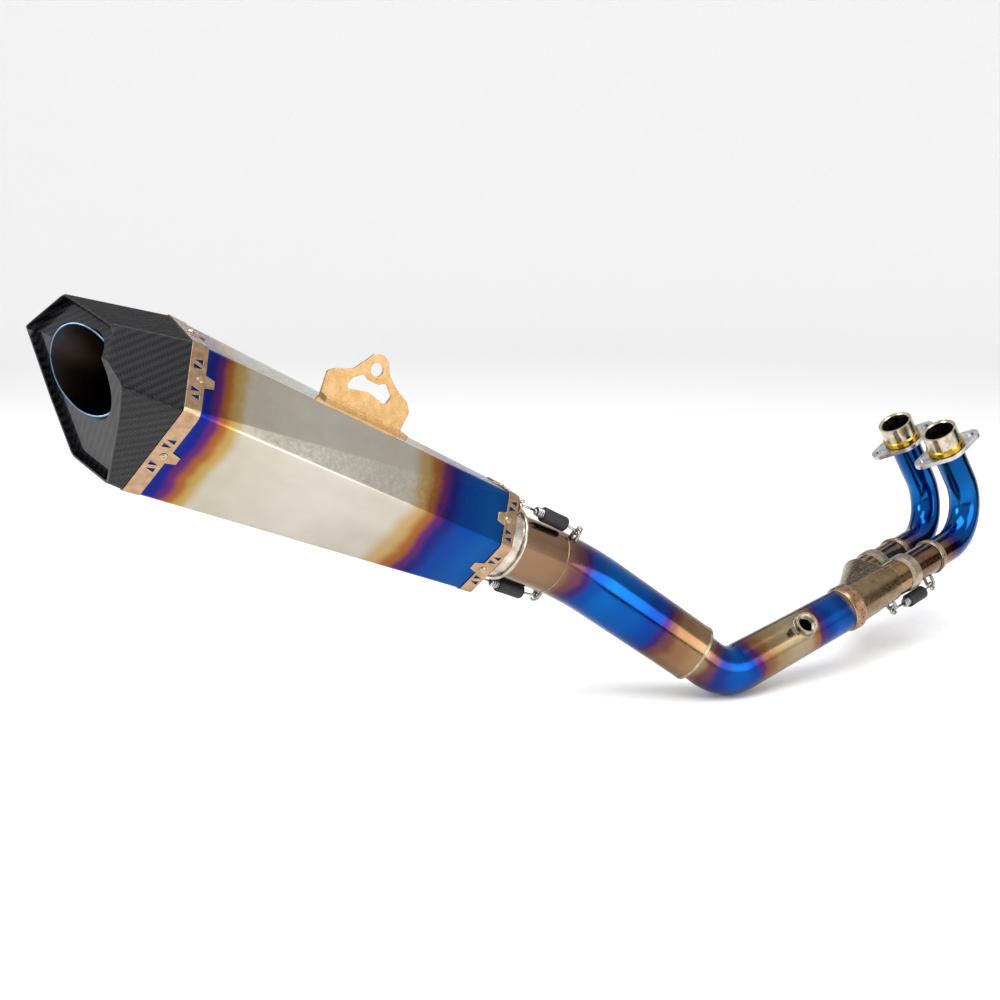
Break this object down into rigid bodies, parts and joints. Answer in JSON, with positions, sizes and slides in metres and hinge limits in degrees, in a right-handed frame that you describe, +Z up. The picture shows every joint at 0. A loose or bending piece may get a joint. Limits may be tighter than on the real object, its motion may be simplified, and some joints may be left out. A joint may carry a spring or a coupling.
{
  "type": "racing exhaust system",
  "caption": "Twin-cylinder racing exhaust: two port headers, a collector, a bent mid pipe and a slip-on muffler with a slash-cut carbon end cap.",
  "frame": {"origin": "centre of the near port flange's upper face, where it bolts to the cylinder head", "axes": "+X forwards, away from the muffler; +Y to the left, from the near port to the far one; +Z up"},
  "size_m": [1.0738, 0.1817, 0.4254],
  "materials": {
    "carbon": "clear-coated carbon twill",
    "outlet_titanium": "satin, heat tinted rim",
    "bronze_band": "bronze tinted titanium",
    "rivet_steel": "satin",
    "sleeve_titanium": "brushed, heat tinted blue at both ends",
    "front_titanium": "satin",
    "rolled_titanium": "satin",
    "core_steel": "perforated, dull",
    "packing_wool": "glass wool",
    "anodised_gold": "satin gold tint",
    "hook_titanium": "drawn wire",
    "link_titanium": "heat tinted blue and bronze",
    "weld_titanium": "frosted weld",
    "mid_titanium": "heat tinted brown and blue",
    "bung_titanium": "turned",
    "ring_titanium": "copper tinted",
    "collector_titanium": "olive bronze, satin",
    "socket_titanium": "bronze tinted, glossy",
    "spring_steel": "drawn wire",
    "rubber_sleeve": "matte",
    "header_titanium": "heat tinted blue, glossy",
    "stub_titanium": "heat tinted brown",
    "collar_gold": "turned, gold tint",
    "spigot_steel": "turned",
    "flange_steel": "satin plate"
  },
  "bodies": {
    "pipe": {"collector": "collector_titanium", "collector_ring": "ring_titanium", "socket_near": "socket_titanium", "socket_far": "socket_titanium", "socket_lip_near": "weld_titanium", "socket_lip_far": "weld_titanium", "collector_hooks": "hook_titanium", "mid_pipe": "mid_titanium", "lambda_bung": "bung_titanium", "sensor_tab": "bung_titanium", "link_pipe": "link_titanium", "link_step_ring": "weld_titanium", "link_seam": "weld_titanium", "link_hooks": "hook_titanium", "muffler_springs": "spring_steel", "muffler_spring_sleeves": "rubber_sleeve", "header_spring_near": "spring_steel", "header_spring_far": "spring_steel", "spring_sleeve_near": "rubber_sleeve", "spring_sleeve_far": "rubber_sleeve"},
    "muffler": {"muffler_sleeve": "sleeve_titanium", "end_cap": "carbon", "outlet_tube": "outlet_titanium", "rear_band": "bronze_band", "rear_rivets": "rivet_steel", "front_band": "bronze_band", "front_rivets": "rivet_steel", "front_cap": "front_titanium", "inlet_socket": "rolled_titanium", "core_tube": "core_steel", "packing": "packing_wool", "rear_plate": "core_steel", "hanger_bracket": "anodised_gold", "muffler_hooks": "hook_titanium"},
    "header_near": {"header_near": "header_titanium", "stub_near": "stub_titanium", "stub_weld_near": "weld_titanium", "header_hook_near": "hook_titanium", "collar_near": "collar_gold", "spigot_near": "spigot_steel"},
    "header_far": {"header_far": "header_titanium", "stub_far": "stub_titanium", "stub_weld_far": "weld_titanium", "header_hook_far": "hook_titanium", "collar_far": "collar_gold", "spigot_far": "spigot_steel"},
    "flange_near": {"flange_near": "flange_steel"},
    "flange_far": {"flange_far": "flange_steel"}
  },
  "joints": [
    {"name": "muffler_slip", "type": "slide", "parent": "pipe", "child": "muffler", "axis": [-0.9005, -0.0173, 0.4344], "range_m": [0, 0.004], "stiffness_N_per_m": 12000, "springref_m": -0.008, "deforming": ["muffler_springs"]},
    {"name": "header_turn_near", "type": "hinge", "parent": "pipe", "child": "header_near", "pos_m": [-0.195, -0.055, -0.152], "axis": [0.9614, 0.2027, 0.1862], "range_deg": [-2, 2], "deforming": ["header_spring_near"]},
    {"name": "header_turn_far", "type": "hinge", "parent": "pipe", "child": "header_far", "pos_m": [-0.122, 0.003, -0.14], "axis": [0.9405, 0.3196, 0.1157], "range_deg": [-2, 2], "deforming": ["header_spring_far"]},
    {"name": "flange_slide_near", "type": "slide", "parent": "header_near", "child": "flange_near", "axis": [0.5446, 0, -0.8387], "range_m": [0, 0.03]},
    {"name": "flange_slide_far", "type": "slide", "parent": "header_far", "child": "flange_far", "axis": [0.5446, 0, -0.8387], "range_m": [0, 0.03]}
  ]
}
